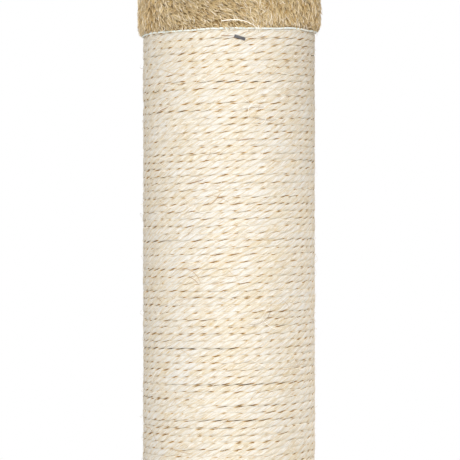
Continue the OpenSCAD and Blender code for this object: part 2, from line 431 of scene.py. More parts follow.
SISAL = sisal_material()
ZINC = metal_material("zinc_plate", (0.55, 0.57, 0.60), 0.32, 1.0)
STAPLE = metal_material("staple_wire", (0.08, 0.077, 0.082), 0.45, 0.5)
CAD_LOOKS = {"board": wood_material(), "plugs": wood_material(), "tube": card_material(),
             "feet": rubber_material(), "nuts": ZINC, "bolts": ZINC, "studs": ZINC, "washers": ZINC,
             "staples": STAPLE}
for node_name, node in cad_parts.items():
    for ending, look in CAD_LOOKS.items():
        if node_name.endswith(ending):
            node.data.materials.clear()
            node.data.materials.append(look)
PILE = pile_material("plush_pile", srgb(128, 96, 46), srgb(190, 165, 114), srgb(222, 203, 163))
# painted highlight: a lighter copy of the plush colour for the locks lying on top, standing in for the light
# on the topmost hairs
LOCKS_PAINTED_HIGHLIGHT = pile_material("plush_locks_painted_highlight", srgb(150, 120, 72), srgb(200, 179, 136), srgb(232, 223, 204))
# painted light: a lighter copy of the plush colour for the wider ribbons of the boards, the other collars,
# the bolster and the cushion, making up for their self-shadow and the dimmer light on the boards' tops
PILE_PAINTED_LIGHTER = pile_material("plush_pile_painted_lighter", srgb(162, 136, 94), srgb(207, 186, 146), srgb(233, 219, 188))
BACKING = backing_material("plush_backing", srgb(124, 98, 58), srgb(166, 140, 94))
BACKING_WIDE = backing_material("plush_backing_wide", srgb(150, 124, 82), srgb(188, 164, 120))
STUFFED = backing_material("stuffed_plush_backing", srgb(152, 126, 84), srgb(190, 166, 122))
HEM = backing_material("hem_cloth", srgb(226, 238, 236), srgb(246, 252, 252))

# ---------------- wound sisal rope


STRANDS = 3
STRAND_TURN = 2 * math.pi / STRANDS
LAY = 21.9 * mm
FIBRE_SLOPE = 0.56
ROPE_END = 6 * mm  # how far the rope runs on under the collars


def strand_crest(angle):
    """How far a laid rope's surface is from its middle, as a share of its radius."""
    off = (angle + STRAND_TURN / 2) % STRAND_TURN - STRAND_TURN / 2
    c, a = 0.30, 0.70
    return c * np.cos(off) + np.sqrt(np.maximum(a * a - (c * np.sin(off)) ** 2, 0))


def turn_angles(front, rest):
    """Angles of one turn about a post from its back, in steps of front metres in front and of rest behind."""
    core = TUBE_R + ROPE_D / 2
    side = math.radians(104)
    behind = np.arange(-math.pi, -side, rest / core)
    ahead = np.linspace(-side, side, round(2 * side * core / front), endpoint=False)
    return np.concatenate([behind, ahead, -behind[::-1]])[:-1] if len(behind) else ahead


def wound_rope(key, names, front, rest, across, seed):
    """One helix of laid rope round a post, outer side only, as one mesh per name, joined at the back."""
    p = post[key]
    bottom, top = p["rope"]
    pitch = (top - bottom) / round((top - bottom) / ROPE_D)
    core = TUBE_R + ROPE_D / 2
    one_turn = turn_angles(front, rest)
    first, last = round(-ROPE_END / pitch), round((top - bottom + ROPE_END) / pitch)
    theta = np.concatenate([one_turn + 2 * math.pi * n for n in range(first, last)])
    s = theta * core
    line = np.stack([s, np.zeros_like(s), np.full_like(s, seed % 97 * 1.0)], 1)
    # slow changes along the rope: thickness, lay, height and how far out it sits, row against row
    thick = 1 + 0.09 * smooth_noise(line, 0.05, seed + 1, 2)
    lay_shift = 3.2 * smooth_noise(line, 0.05, seed + 2, 3)
    lift = 0.60 * mm * smooth_noise(line, 0.055, seed + 3, 3)
    out = 0.30 * mm * smooth_noise(line, 0.045, seed + 4, 2)
    psi = np.radians(np.linspace(-98, 98, across))
    ring = psi[None, :] - (2 * math.pi * s / LAY + lay_shift)[:, None]
    rho = strand_crest(ring)
    strand = np.floor(ring / STRAND_TURN + 0.5).astype(int) % STRANDS
    # each strand has its own slow thickness
    own = [smooth_noise(line + [[0, 3.1 * k, 0]], 0.035, seed + 10 + k, 2) for k in range(STRANDS)]
    own = np.take_along_axis(np.stack(own, 1), strand, 1)
    # between strands it is shallow on the rope's front and deep where it meets the next turn
    deep = 0.14 + 0.86 * np.clip((np.abs(psi) - 0.5) / 0.5, 0, 1)
    radius = ROPE_D / 2 * ((1 - (1 - rho) * deep) * (1 + 0.12 * own)) * thick[:, None] * 1.02
    angle = theta - math.pi / 2
    across_r = core + out[:, None] + radius * (0.87 + 0.13 * np.cos(psi))
    height = (bottom + pitch * theta / (2 * math.pi) + lift)[:, None] + radius * np.sin(psi) * 1.12
    x = p["x"] + across_r * np.cos(angle)[:, None]
    y = p["y"] + across_r * np.sin(angle)[:, None]
    verts = np.stack([x, y, height], -1)
    edge = np.broadcast_to(np.abs(psi) / (math.pi / 2), ring.shape)
    lay_values = np.stack([ring / STRAND_TURN + 4001 * (seed % 13), edge, ring * 0], -1)
    # fibres lie along the strands, a little flatter, and differ from strand to strand
    flat = psi[None, :] * ROPE_D / 2 - FIBRE_SLOPE * s[:, None] + 0.011 * strand
    fibre = np.stack([np.broadcast_to(s[:, None], flat.shape), flat, flat * 0], -1)
    turn = theta / (2 * math.pi)
    cuts = [round(k * (last - first) / len(names)) * len(one_turn) for k in range(len(names) + 1)]
    for k, name in enumerate(names):
        rows = slice(cuts[k], cuts[k + 1] + 1)
        count = len(theta[rows])
        faces = grid_faces(count, across)
        # corner UVs: once round the post is one width of the map
        part_turn, part_height = turn[rows], height[rows]
        ring_index = faces // across
        u = (part_turn[ring_index] - np.floor(part_turn[ring_index[:, :1]] + 1e-6)) * 0.995
        low, high = part_height.min(), part_height.max()
        v = (part_height.reshape(-1)[faces] - low) / (high - low)
        uv = np.clip(np.stack([u, v], -1), 0, 1).reshape(-1, 2)
        attributes = {"lay": lay_values[rows].reshape(-1, 3), "fibre": fibre[rows].reshape(-1, 3)}
        piece = make_mesh(name, verts[rows].reshape(-1, 3), faces, SISAL, uv, attributes)
        settle(piece, key + "_rope")


# ---------------- pile


def scatter(verts, triangles, normals, density, rng):
    """Random points on a mesh and their smooth normals. density is points to the square metre, as one number
    or one per triangle."""
    a, b, c = (verts[triangles[:, i]] for i in range(3))
    area = np.linalg.norm(np.cross(b - a, c - a), axis=1) / 2 * density
    count = int(area.sum())
    chosen = np.searchsorted(np.cumsum(area), rng.uniform(0, area.sum(), count))
    chosen = np.minimum(chosen, len(triangles) - 1)
    w = rng.uniform(0, 1, (count, 2))
    flip = w.sum(1) > 1
    w[flip] = 1 - w[flip]
    w = np.column_stack([1 - w.sum(1), w])
    t = triangles[chosen]
    points = sum(verts[t[:, i]] * w[:, i : i + 1] for i in range(3))
    normal = unit(sum(normals[t[:, i]] * w[:, i : i + 1] for i in range(3)))
    return points, normal


FLOOR_GAP = 0.3 * mm  # no hair comes lower


def clump_pull(points, size, seed):
    """From each point towards the middle of the tuft that it belongs to."""
    cell = np.floor(points / size).astype(np.int64)
    best, pull = np.full(len(points), 1e9), np.zeros_like(points)
    table = np.random.default_rng(seed).uniform(0, 1, (8192, 3))
    for step in itertools.product((-1, 0, 1), repeat=3):
        near = cell + step
        away = (near + table[hashed(near, 11, 8191)]) * size - points
        distance = (away**2).sum(1)
        nearer = distance < best
        best[nearer] = distance[nearer]
        pull[nearer] = away[nearer]
    return pull


def pile(name, points, normals, comb, length, width, seed, segments=2, lift=(48, 4), clump=0.5,
         clump_size=0.008, ruffle=14, curl=14, material=PILE_PAINTED_LIGHTER, shade_spread=1.0, roll=40, limit=None,
         painted_shade=0.0, slot="plush"):
    """Tapered, bent ribbons. comb is where each one leans to; lift is its rise in degrees at root and tip."""
    rng = np.random.default_rng(seed)
    count = len(points)
    tangent = unit(comb - (comb * normals).sum(1, keepdims=True) * normals)
    side = np.cross(normals, tangent)
    turn = np.radians(ruffle * smooth_noise(points, 0.011, seed + 5, 2) * 2 + rng.normal(0, curl, count))
    tangent = tangent * np.cos(turn)[:, None] + side * np.sin(turn)[:, None]
    length = length * rng.uniform(0.72, 1.12, count) * (1 + 0.12 * smooth_noise(points, 0.02, seed + 6))
    if limit is not None:
        length = np.minimum(length, limit)
    width = width * rng.uniform(0.7, 1.3, count)
    tip_over = np.radians(roll) * rng.uniform(-1, 1, (count, 1))
    pull = clump_pull(points + tangent * length[:, None] * 0.5, clump_size, seed + 7)
    pull -= (pull * normals).sum(1, keepdims=True) * normals
    sway = rng.normal(0, math.radians(curl), (count, segments))
    spots = [points]
    heading = tangent
    for k in range(segments):
        rise = math.radians(lift[0] + (lift[1] - lift[0]) * (k + 0.35) / max(segments - 0.3, 1))
        rise = rise + rng.normal(0, math.radians(6), count)
        cross = np.cross(normals, heading)
        heading = unit(heading + cross * np.tan(sway[:, k])[:, None])
        step = heading * np.cos(rise)[:, None] + normals * np.sin(rise)[:, None]
        spots.append(spots[-1] + step * (length / segments)[:, None])
    for k in range(1, segments + 1):
        spots[k] = spots[k] + pull * clump * (k / segments) ** 1.3
    verts = []
    for k in range(segments):
        ahead = unit(spots[k + 1] - spots[k])
        across = unit(np.cross(ahead, normals))
        across = across * np.cos(tip_over) + np.cross(across, ahead) * np.sin(tip_over)
        half = (width / 2 * (1.0 if k == 0 else 1.0 - 0.28 * k / segments))[:, None]
        verts += [spots[k] - across * half, spots[k] + across * half]
    verts.append(spots[segments])
    per = 2 * segments + 1
    block = np.stack(verts, 1).reshape(-1, 3)
    block[:, 2] = np.maximum(block[:, 2], FLOOR_GAP)
    patch = smooth_noise(points, 0.03, seed + 8, 2)
    # lowering the shade here darkens the hair: painted shade, as where the pile parts along a seam
    shade = np.clip(0.5 - painted_shade + shade_spread * (rng.normal(0, 0.20, count) + 0.22 * patch), 0.02, 0.98)
    level = np.repeat(np.arange(segments + 1) / segments, 2)[:-1]
    corners = [(2 * k, 2 * k + 1, 2 * k + 3, 2 * k + 2) for k in range(segments - 1)]
    corners.append((per - 3, per - 2, per - 1))
    groups = [np.arange(count)[:, None] * per + np.array(corner) for corner in corners]
    uv = [np.stack([np.repeat(shade, len(c)), np.tile(level[list(c)], count)], 1) for c in corners]
    piece = make_mesh(name, block, groups, material, uv=np.concatenate(uv) * 0.98 + 0.01)
    return settle(piece)


def field(points, *terms):
    return np.broadcast_to(np.array(terms, float), (len(points), 3))


# ---------------- collars


def collar(key, which, seed, hero_one=False):
    """The backing sleeve of a collar, with turned-in edges, its hem and its pile."""
    p = post[key]
    low, high = p[which]
    node = f"{key}_{which}_collar"
    middle_r, rim_r = 49.8 * mm, 49.5 * mm
    shift = 0.3 * mm if hero_one else 0.0
    free_low = which == "head"
    lip = 4.0 * mm
    free_edge = low + 0.9 * mm if free_low else high - 0.9 * mm
    corner = np.radians(np.linspace(0, 90, 5))
    # profile from the lower turned edge to the upper one
    if free_low:
        r = list(rim_r + (middle_r - rim_r) * np.sin(corner)) + [middle_r] * 6
        z = list(free_edge + lip * (1 - np.cos(corner)))
        z += list(np.linspace(low + lip + 3 * mm, high + 2 * mm, 6))
    else:
        z = list(np.linspace(low - 5 * mm, high - lip - 3 * mm, 6))
        z += list(free_edge - lip * (1 - np.cos(corner[::-1])))
        r = [middle_r] * 6 + list(rim_r + (middle_r - rim_r) * np.sin(corner[::-1]))
    r, z = np.array(r), np.array(z)

    def tilt(theta):
        """How much higher the free edge is cut at each angle."""
        if hero_one:
            return mm * (-1.12 + 1.15 * np.cos(theta) - 0.1 * np.sin(theta) + 0.25 * np.sin(7 * theta + 1.0))
        return mm * (0.8 * np.cos(theta + seed) + 0.2 * np.sin(5 * theta + seed))

    round_steps = 96
    theta = np.arange(round_steps) / round_steps * 2 * math.pi
    near_edge = np.clip(1 - np.abs(z - free_edge) / (12 * mm), 0, 1)
    zz = z[:, None] + near_edge[:, None] * tilt(theta)[None, :]
    wave = smooth_noise(np.stack([np.cos(theta) * 0.05, np.sin(theta) * 0.05, theta * 0], 1), 0.03, seed, 2)
    rr = r[:, None] + 0.3 * mm * wave[None, :] * (1 - near_edge[:, None])

    def ring_mesh(tag, radius, height, wrap_rows, material):
        x, y = p["x"] + shift + radius * np.cos(theta), p["y"] + radius * np.sin(theta)
        faces = grid_faces(len(radius), round_steps, True, wrap_rows)
        return make_mesh(node + tag, np.stack([x, y, height], -1).reshape(-1, 3), faces, material)

    sleeve = settle(ring_mesh("_sleeve", rr, zz, False, BACKING), node)
    # the cut edge of the backing cloth
    a = np.arange(6) / 6 * 2 * math.pi
    fray = 0.3 * mm * smooth_noise(np.stack([theta, theta * 0, theta * 0], 1), 0.10, seed + 2, 2)
    hem_r = rim_r + 0.1 * mm + fray[None, :] / 3 + 0.36 * mm * np.cos(a)[:, None]
    hem_z = (free_edge + tilt(theta) + (-0.5 if free_low else 0.5) * mm + fray)[None, :]
    hem = settle(ring_mesh("_hem", hem_r, hem_z + 0.5 * mm * np.sin(a)[:, None], True, HEM))
    co, tri, normal = mesh_arrays(sleeve)
    rng = np.random.default_rng(seed + 500)
    centre = co[tri].mean(1)
    angle = np.arctan2(centre[:, 1] - p["y"], centre[:, 0] - p["x"])

    def coat(tag, density, hair, wide, grow_seed, **style):
        points, normals = scatter(co, tri, normal, density, rng)
        a = np.arctan2(points[:, 1] - p["y"], points[:, 0] - p["x"])
        around = np.stack([-np.sin(a), np.cos(a), a * 0], 1)
        painted_shade = 0.0
        if hero_one:
            side = np.degrees((a + math.pi / 2 + math.pi) % (2 * math.pi) - math.pi)
            lean = np.interp(side, [-180, -72, -63, -60, -55, -25, -5, 12, 20, 60, 180],
                             [0, -4, -14, 10, 44, 54, 60, 44, 6, -6, 0])
            lean = np.radians(lean + 14 * smooth_noise(points, 0.012, seed + 3, 2))
            painted_shade = 0.34 * np.exp(-(((side + 61) / 4.5) ** 2))  # painted shade: darker hair along the sleeve's seam, where the pile parts
        else:
            lean = np.radians(24 * smooth_noise(points, 0.05, seed + 3, 2) + 6)
        comb = field(points, 0, 0, -1) * np.cos(lean)[:, None] + around * np.sin(lean)[:, None]
        from_edge = np.abs(points[:, 2] - free_edge - tilt(a))
        edge_in = np.clip(1 - from_edge / ((9 if hero_one else 6) * mm), 0, 1)
        # the pile hangs downwards: at a lower edge it is trimmed there, at an upper one it starts there
        over = rng.gamma(1.2, 0.3 * mm, len(points))
        spare = 0.8 * mm
        if hero_one:
            spare = np.interp(side, [-70, -40, 0, 20, 60], [-0.1, 0.6, 0.5, -0.1, -0.1]) * mm
        limit = None
        if free_low:
            limit = np.maximum((from_edge + over) / np.maximum(np.cos(lean), 0.4) + spare, 0.3 * mm)
        shorter = (0.62 if hero_one else 0.45) * edge_in
        return pile(f"{node}_{tag}", points, normals, comb, hair * (1 - shorter), wide, grow_seed,
                    limit=limit, painted_shade=painted_shade, **style)

    if hero_one:
        front = np.cos(angle + math.pi / 2) > -0.5
        seen = front & (centre[:, 2] < low + 22 * mm)
        coats = [
            coat("pile", np.where(seen, 2.0e6, 0.55e6), 6.5 * mm, 0.44 * mm, seed + 40, segments=3,
                 lift=(38, 0), clump=0.42, clump_size=0.0032, curl=13, material=PILE, shade_spread=1.6,
                 roll=75),
            coat("locks", np.where(seen, 0.36e6, 0.03e6), 8.0 * mm, 0.38 * mm, seed + 60, segments=4,
                 lift=(44, -10), clump=0.4, clump_size=0.0042, ruffle=16, material=LOCKS_PAINTED_HIGHLIGHT, shade_spread=1.7,
                 roll=75),
        ]
    else:
        coats = [coat("pile", 0.36e6 if which == "head" else 0.42e6, 7.0 * mm, 0.75 * mm, seed + 40,
                      lift=(44, 2), clump_size=0.006, ruffle=12, curl=13)]


# ---------------- loose fibres on the rope


def fibre_material():
    t = Tree("loose_fibre")
    hair = t.hair()
    shade = t.ramp(hair["X"], [(0.0, srgb(84, 54, 26)), (0.05, srgb(150, 104, 50)),
                               (0.12, srgb(196, 164, 112)), (0.3, srgb(226, 214, 188)),
                               (1.0, srgb(246, 242, 234))])
    thin = t.ramp(hair["Y"], [(0.0, (0.92, 0.9, 0.86)), (0.5, (1, 1, 1)), (1.0, (0.92, 0.9, 0.86))])
    return t.finish(t.mix(1.0, shade, thin, "MULTIPLY"), 0.55, Specular_IOR_Level=0.35)


FIBRE = fibre_material()


def loose_fibres(key, count, seed, wisps=()):
    """Thin curved ribbons lying on a post's rope, a few standing off it. wisps are wider ones, each with its
    degrees from the front, height, length, slope, bend and shade."""
    p = post[key]
    bottom, top = p["rope"]
    rng = np.random.default_rng(seed)
    steps = 7
    total = count + len(wisps)
    angle = rng.uniform(-math.pi, math.pi, total)
    height = rng.uniform(bottom + 3 * mm, top - 3 * mm, total)
    long = rng.gamma(2.2, 4.5 * mm, total) + 4 * mm
    slope = rng.normal(0.16, 0.42, total)
    bend = rng.normal(0, 0.55, total)
    width = rng.uniform(0.10, 0.26, total) * mm
    stand = np.abs(rng.normal(0, 0.35, total)) * mm + rng.choice([0, 1.2 * mm], total, p=[0.94, 0.06])
    shade = rng.uniform(0.22, 1.0, total)
    dark = rng.uniform(0, 1, total)
    shade[dark < 0.10] = rng.uniform(0.05, 0.2, int((dark < 0.10).sum()))
    shade[dark < 0.012] = 0.01
    for k, (degrees, z, length, rise, arc, tone) in enumerate(wisps):
        angle[count + k] = math.radians(degrees)
        height[count + k], long[count + k], slope[count + k], bend[count + k] = z, length, rise, arc
        width[count + k], shade[count + k], stand[count + k] = 0.34 * mm, tone, 0.5 * mm
    u = np.linspace(-0.5, 0.5, steps)
    lean = slope[:, None] + bend[:, None] * 2 * u
    dx = long[:, None] / steps * np.cos(lean)
    dz = long[:, None] / steps * np.sin(lean)
    x = np.cumsum(dx, 1) - dx.sum(1, keepdims=True) / 2
    z = np.cumsum(dz, 1) - dz.sum(1, keepdims=True) / 2
    phase = (height[:, None] + z - bottom) / ROPE_D - (angle[:, None] + x / ROPE_R) / (2 * math.pi)
    swell = 0.5 * mm * (1 - np.cos(2 * math.pi * phase)) / 2
    r = ROPE_R - 0.25 * mm + swell + stand[:, None] * np.cos(u * math.pi) + 0.12 * mm
    a = angle[:, None] + x / ROPE_R - math.pi / 2
    place = np.stack([p["x"] + r * np.cos(a), p["y"] + r * np.sin(a), height[:, None] + z], -1)
    ahead = np.gradient(place, axis=1)
    outward = np.stack([np.cos(a), np.sin(a), a * 0], -1)
    across = np.cross(ahead, outward)
    across /= np.maximum(np.linalg.norm(across, axis=-1, keepdims=True), 1e-9)
    taper = (width[:, None] / 2 * (0.35 + 0.65 * np.cos(u * math.pi)))[..., None]
    verts = np.stack([place - across * taper, place + across * taper], 2).reshape(-1, 3)
    base = (np.arange(total) * steps * 2)[:, None] + np.arange(steps - 1) * 2
    quads = np.stack([base, base + 1, base + 3, base + 2], -1).reshape(-1, 4)
    v = np.arange(steps) / (steps - 1)
    v = np.stack([v[:-1], v[:-1], v[1:], v[1:]], -1)
    uv = np.stack([np.repeat(shade, 4 * (steps - 1)), np.tile(v.ravel(), total)], -1) * 0.98 + 0.01
    settle(make_mesh(key + "_rope_fibres", verts, quads, FIBRE, uv=uv))


def stray_hairs(name, key, paths, widths, shades):
    """Single hairs on a post, each a list of (degrees from front, height, distance from the axis)."""
    p = post[key]
    verts, quads, uvs, start = [], [], [], 0
    for path, width, shade in zip(paths, widths, shades):
        path = np.array(path, float)
        n = 3 * len(path)
        at = np.linspace(0, len(path) - 1, n)
        fine = np.column_stack([np.interp(at, np.arange(len(path)), path[:, c]) for c in range(3)])
        for _ in range(2):
            fine[1:-1] = (fine[:-2] + 2 * fine[1:-1] + fine[2:]) / 4
        a = np.radians(fine[:, 0]) - math.pi / 2
        out = np.column_stack([np.cos(a), np.sin(a), a * 0])
        place = np.array([p["x"], p["y"], 0]) + out * fine[:, 2:3]
        place = place + np.column_stack([a * 0, a * 0, fine[:, 1]])
        half = (width / 2 * np.linspace(1, 0.45, n))[:, None]
        across = unit(np.cross(np.gradient(place, axis=0), out)) * half
        verts.append(np.stack([place - across, place + across], 1).reshape(-1, 3))
        k = start + 2 * np.arange(n - 1)
        quads.append(np.stack([k, k + 1, k + 3, k + 2], 1))
        v = np.linspace(0.02, 0.98, n)
        v = np.stack([v[:-1], v[:-1], v[1:], v[1:]], 1)
        uvs.append(np.stack([np.full((n - 1, 4), shade), v], -1).reshape(-1, 2))
        start += 2 * n
    hairs = make_mesh(name, np.concatenate(verts), np.concatenate(quads), FIBRE, uv=np.concatenate(uvs))
    settle(hairs)


def hem_whiskers(key, count, seed):
    """Short pale threads of the backing that stick out past a head collar's cut edge."""
    rng = np.random.default_rng(seed)
    edge = post[key]["head"][0]
    paths, shades, widths = [], [], [0.26 * mm] * count
    for _ in range(count):
        side, drop = rng.uniform(-86, 86), rng.uniform(0.8, 3.2) * mm
        slant, out = rng.normal(0, 2.5), rng.uniform(0.6, 1.6) * mm
        z = edge + rng.uniform(-0.2, 1.2) * mm - 1.0 * mm * (side < -30)
        paths.append([(side, z, 50.4 * mm), (side + slant * 0.4, z - drop * 0.5, 50.4 * mm + out),
                      (side + slant, z - drop, 50.2 * mm + out)])
        shades.append(rng.uniform(0.7, 1.0))
    if key == HERO:
        # one long white hair in an arc over the edge, then pairs of short ones that fray from it
        arc = ((-4.5, 3.2, 53.4), (3, 3.9, 54.2), (9, 3.3, 54.4), (13.5, 1.5, 54.2), (17.5, -0.8, 53.4))
        paths.append([(side, edge + z * mm, out * mm) for side, z, out in arc])
        tufts = ((-59, -2.2, 0.5), (-57, -2.4, -0.8), (18, -0.6, 1.5), (19, -0.4, -1.0), (55, 0.9, 0.4),
                 (57, 1.0, 1.8))
        for side, z, slant in tufts:
            paths.append([(side, edge + (z + 1.6) * mm, 51.6 * mm),
                          (side + slant * 0.6, edge + z * mm, 51.8 * mm),
                          (side + slant, edge + (z - 2.4) * mm, 51.0 * mm)])
        shades += [0.98] + [1.0] * len(tufts)
        widths += [0.5 * mm] + [0.26 * mm] * len(tufts)
    stray_hairs(key + "_hem_whiskers", key, paths, widths, shades)


view_z = camera.location.z
HERO_WISPS = [
    (17, view_z + 0.066, 0.016, 1.2, -0.9, 0.97), (20, view_z + 0.062, 0.012, 0.5, 1.1, 0.95),
    (-22, view_z + 0.027, 0.013, 0.25, 0.1, 0.03), (-50, view_z + 0.067, 0.012, 0.3, 0.0, 0.06),
    (9, view_z + 0.050, 0.011, 0.12, 0.0, 0.045), (-2, view_z + 0.1078, 0.0075, -0.05, 0.1, 0.03),
    (-66, view_z - 0.064, 0.02, 1.3, 0.8, 0.98), (-55, view_z - 0.085, 0.022, 0.9, -0.7, 0.98),
    (30, view_z - 0.05, 0.02, -0.5, 0.8, 0.97),
]
HERO_FIBRES = 2600
FIBRES_PER_METRE = 1500 / 0.288
for index, key in enumerate(POSTS):
    bottom, top = post[key]["rope"]
    if key == HERO:
        loose_fibres(key, HERO_FIBRES, 700 + index, HERO_WISPS)
        wound_rope(key, [key + "_rope_lower", key + "_rope_upper"], 0.9 * mm, 2.4 * mm, 11, 31)
    else:
        loose_fibres(key, round(FIBRES_PER_METRE * (top - bottom)), 700 + index)
        wound_rope(key, [key + "_rope_wound"], 1.5 * mm, 1.5 * mm, 7, 40 + 7 * index)
    collar(key, "head", 100 + 10 * index, hero_one=key == HERO)
    hem_whiskers(key, 34, 900 + index)
    collar(key, "foot", 200 + 10 * index)

# ---------------- boards in plush


HAIRS_PER_M2 = 0.17e6
CORNERS = np.array([(1, 1), (-1, 1), (-1, -1), (1, -1)])


def outline(w, d, r, inset):
    """A rounded rectangle's outline, the same number of points whatever the inset."""
    w, d, r = w - 2 * inset, d - 2 * inset, max(r - inset, 0.8 * mm)
    r = min(r, w / 2, d / 2)
    reach = np.array([w / 2 - r, d / 2 - r])
    points = []
    for k in range(4):
        a = np.radians(90 * k + np.linspace(0, 90, 13))
        arc = CORNERS[k] * reach + r * np.stack([np.cos(a), np.sin(a)], 1)
        b = math.radians(90 * (k + 1))
        goal = CORNERS[(k + 1) % 4] * reach + r * np.array([math.cos(b), math.sin(b)])
        points += [arc, arc[-1] + (goal - arc[-1]) * (np.arange(1, 36) / 36)[:, None]]
    return np.concatenate(points)


def lofted(w, d, r, centre, stations):
    """Rings of the outline at (inset, height) stations."""
    rings = []
    for inset, z in stations:
        ring = outline(w, d, r, inset)
        rings.append(np.column_stack([ring + centre, np.full(len(ring), z)]))
    return np.concatenate(rings), len(stations), len(rings[0])


def without_holes(verts, faces, holes):
    """Faces that aren't inside one of the (x, y, radius, lowest, highest) holes."""
    middle = verts[faces].mean(1)
    keep = np.ones(len(faces), bool)
    for x, y, radius, z0, z1 in holes:
        inside = (middle[:, 0] - x) ** 2 + (middle[:, 1] - y) ** 2 < radius**2
        keep &= ~(inside & (middle[:, 2] > z0) & (middle[:, 2] < z1))
    return faces[keep]


def arc_stations(inset0, z0, radius, start, stop, steps):
    """Quarter turns of the sheet over an edge, as (inset, height)."""
    a = np.radians(np.linspace(start, stop, steps))
    return [(inset0 - radius * math.cos(x), z0 + radius * math.sin(x)) for x in a]


def cut(w, d, r, inset):
    """Flat area and edge length of a piece of cloth with this outline."""
    ring = outline(w, d, r, inset)
    after = np.roll(ring, -1, 0)
    area = abs((ring[:, 0] * after[:, 1] - ring[:, 1] * after[:, 0]).sum()) / 2
    return float(area), float(np.linalg.norm(after - ring, axis=1).sum())


def clear_of(points, places, above=-1.0):
    """Which points aren't both near a post or bolt and higher than above. places are (x, y, is it a post)."""
    keep = np.ones(len(points), bool)
    for x, y, is_post in places:
        reach = (51 if is_post else 14.5) * mm
        near = (points[:, 0] - x) ** 2 + (points[:, 1] - y) ** 2 < reach**2
        keep &= ~(near & (points[:, 2] > above))
    return keep


def board_sheet(name, verts, faces):
    return settle(make_mesh(name, verts, faces, BACKING_WIDE), name.split("_")[0] + "_cover")


def plush_board(name, corner, over, beneath, lip, seed, under=True, top_open=0.0):
    """The plush of a board: one sheet over the top, round the sides and turned in below, and one beneath.
    A board is round if it has no corner. lip is how far in from its edge the top sheet ends."""
    low, high = node_box(name + "_board")
    centre, (w, d) = ((low + high) / 2)[:2], (high - low)[:2]
    if corner is None:
        d, corner = w, w / 2
    board_low, board_high = low[2], high[2]
    out, turn, hair, wide = 3.6 * mm, 5.5 * mm, 11.0 * mm, 1.15
    top_z, low_z = board_high + out, board_low - (out if under else 1.1 * mm)
    deepest = min(w, d) / 2 - 0.15 * mm
    stations = [(i, top_z) for i in np.linspace(top_open or deepest, turn + 2 * mm - out, 26)]
    stations += arc_stations(turn - out, top_z - turn, turn, 90, 0, 6)
    stations += [(-out, z) for z in np.linspace(top_z - turn, low_z + turn, 4)[1:-1]]
    stations += arc_stations(turn - out, low_z + turn, turn, 0, -90, 6)
    stations += [(i, low_z) for i in np.linspace(turn - out, lip, 5)[1:]]
    verts, rows, columns = lofted(w, d, corner, centre, stations)
    verts[:, 2] += 0.7 * mm * smooth_noise(verts, 0.06, seed, 2) * (verts[:, 2] > board_high)
    holes = [(x, y, 44 * mm if is_post else 11.5 * mm, board_high, 9) for x, y, is_post in over]
    faces = without_holes(verts, grid_faces(rows, columns, wrap_columns=True), holes)
    cover = board_sheet(name + "_cover_top", verts, faces[:, ::-1])
    rng = np.random.default_rng(seed + 1)
    co, tri, normal = mesh_arrays(cover)
    where = np.where(co[tri].mean(1)[:, 2] < board_low, 0.6, 1.0)
    points, normals = scatter(co, tri, normal, where * HAIRS_PER_M2, rng)
    keep = clear_of(points, over, board_high)
    points, normals = points[keep], normals[keep]
    swirl = 0.55 * smooth_noise(points, 0.09, seed + 2, 2)
    comb = np.column_stack([0.25 + swirl, -1.0 + 0.4 * np.roll(swirl, 7), np.full(len(points), -1.1)])
    fur = pile(name + "_pile_top", points, normals, comb, hair, wide * mm, seed + 3, lift=(52, 4), ruffle=16)
    # cut flat: the top, a strip for the sides and the part turned in, less the posts' holes and the corners
    wrap = board_high - board_low + 2 * out + lip
    top_area, edge = cut(w, d, corner, -out)
    hidden = cut(w, d, corner, top_open)[0] if top_open else 0.0
    hole_area = sum(math.pi * hole[2] ** 2 for hole in holes)
    inner_edge = cut(w, d, corner, lip)[1]
    area = top_area - hidden - hole_area + edge * (wrap - out - lip) + (edge + inner_edge) / 2 * (lip + out)
    if not under:
        return
    overlap = 8 * mm
    stations = [(i, board_low - 1.2 * mm) for i in np.linspace(deepest, lip - overlap, 20)]
    verts, rows, columns = lofted(w, d, corner, centre, stations)
    holes = [(x, y, 44 * mm, -1, board_low + 1) for x, y, _ in beneath]
    faces = without_holes(verts, grid_faces(rows, columns, wrap_columns=True), holes)
    below = board_sheet(name + "_cover_under", verts, faces)
    points, normals = scatter(*mesh_arrays(below), 0.45 * HAIRS_PER_M2, rng)
    keep = clear_of(points, beneath)
    points, normals = points[keep], normals[keep]
    fur = pile(name + "_pile_under", points, normals, field(points, 0.3, -1.0, 0), hair, wide * 1.5 * mm,
               seed + 9, lift=(42, 2), clump_size=0.010)
    area = cut(w, d, corner, lip - overlap)[0] - sum(math.pi * hole[2] ** 2 for hole in holes)


def places(keys, is_post=True):
    return [(post[key]["x"], post[key]["y"], is_post) for key in keys]


lower = places(POSTS[:3])
plush_board("base", 30 * mm, lower, [], 52 * mm, 1000, under=False)
plush_board("deck", 40 * mm, lower, lower, 30 * mm, 1100)
plush_board("perch", None, places(["upper_right"], False), places(["upper_right"]), 30 * mm, 1200)
plush_board("bed", 70 * mm, [], places(["upper_left", "upper_rear"]), 30 * mm, 1300, top_open=62 * mm)

# ---------------- bolster and cushion of the bed


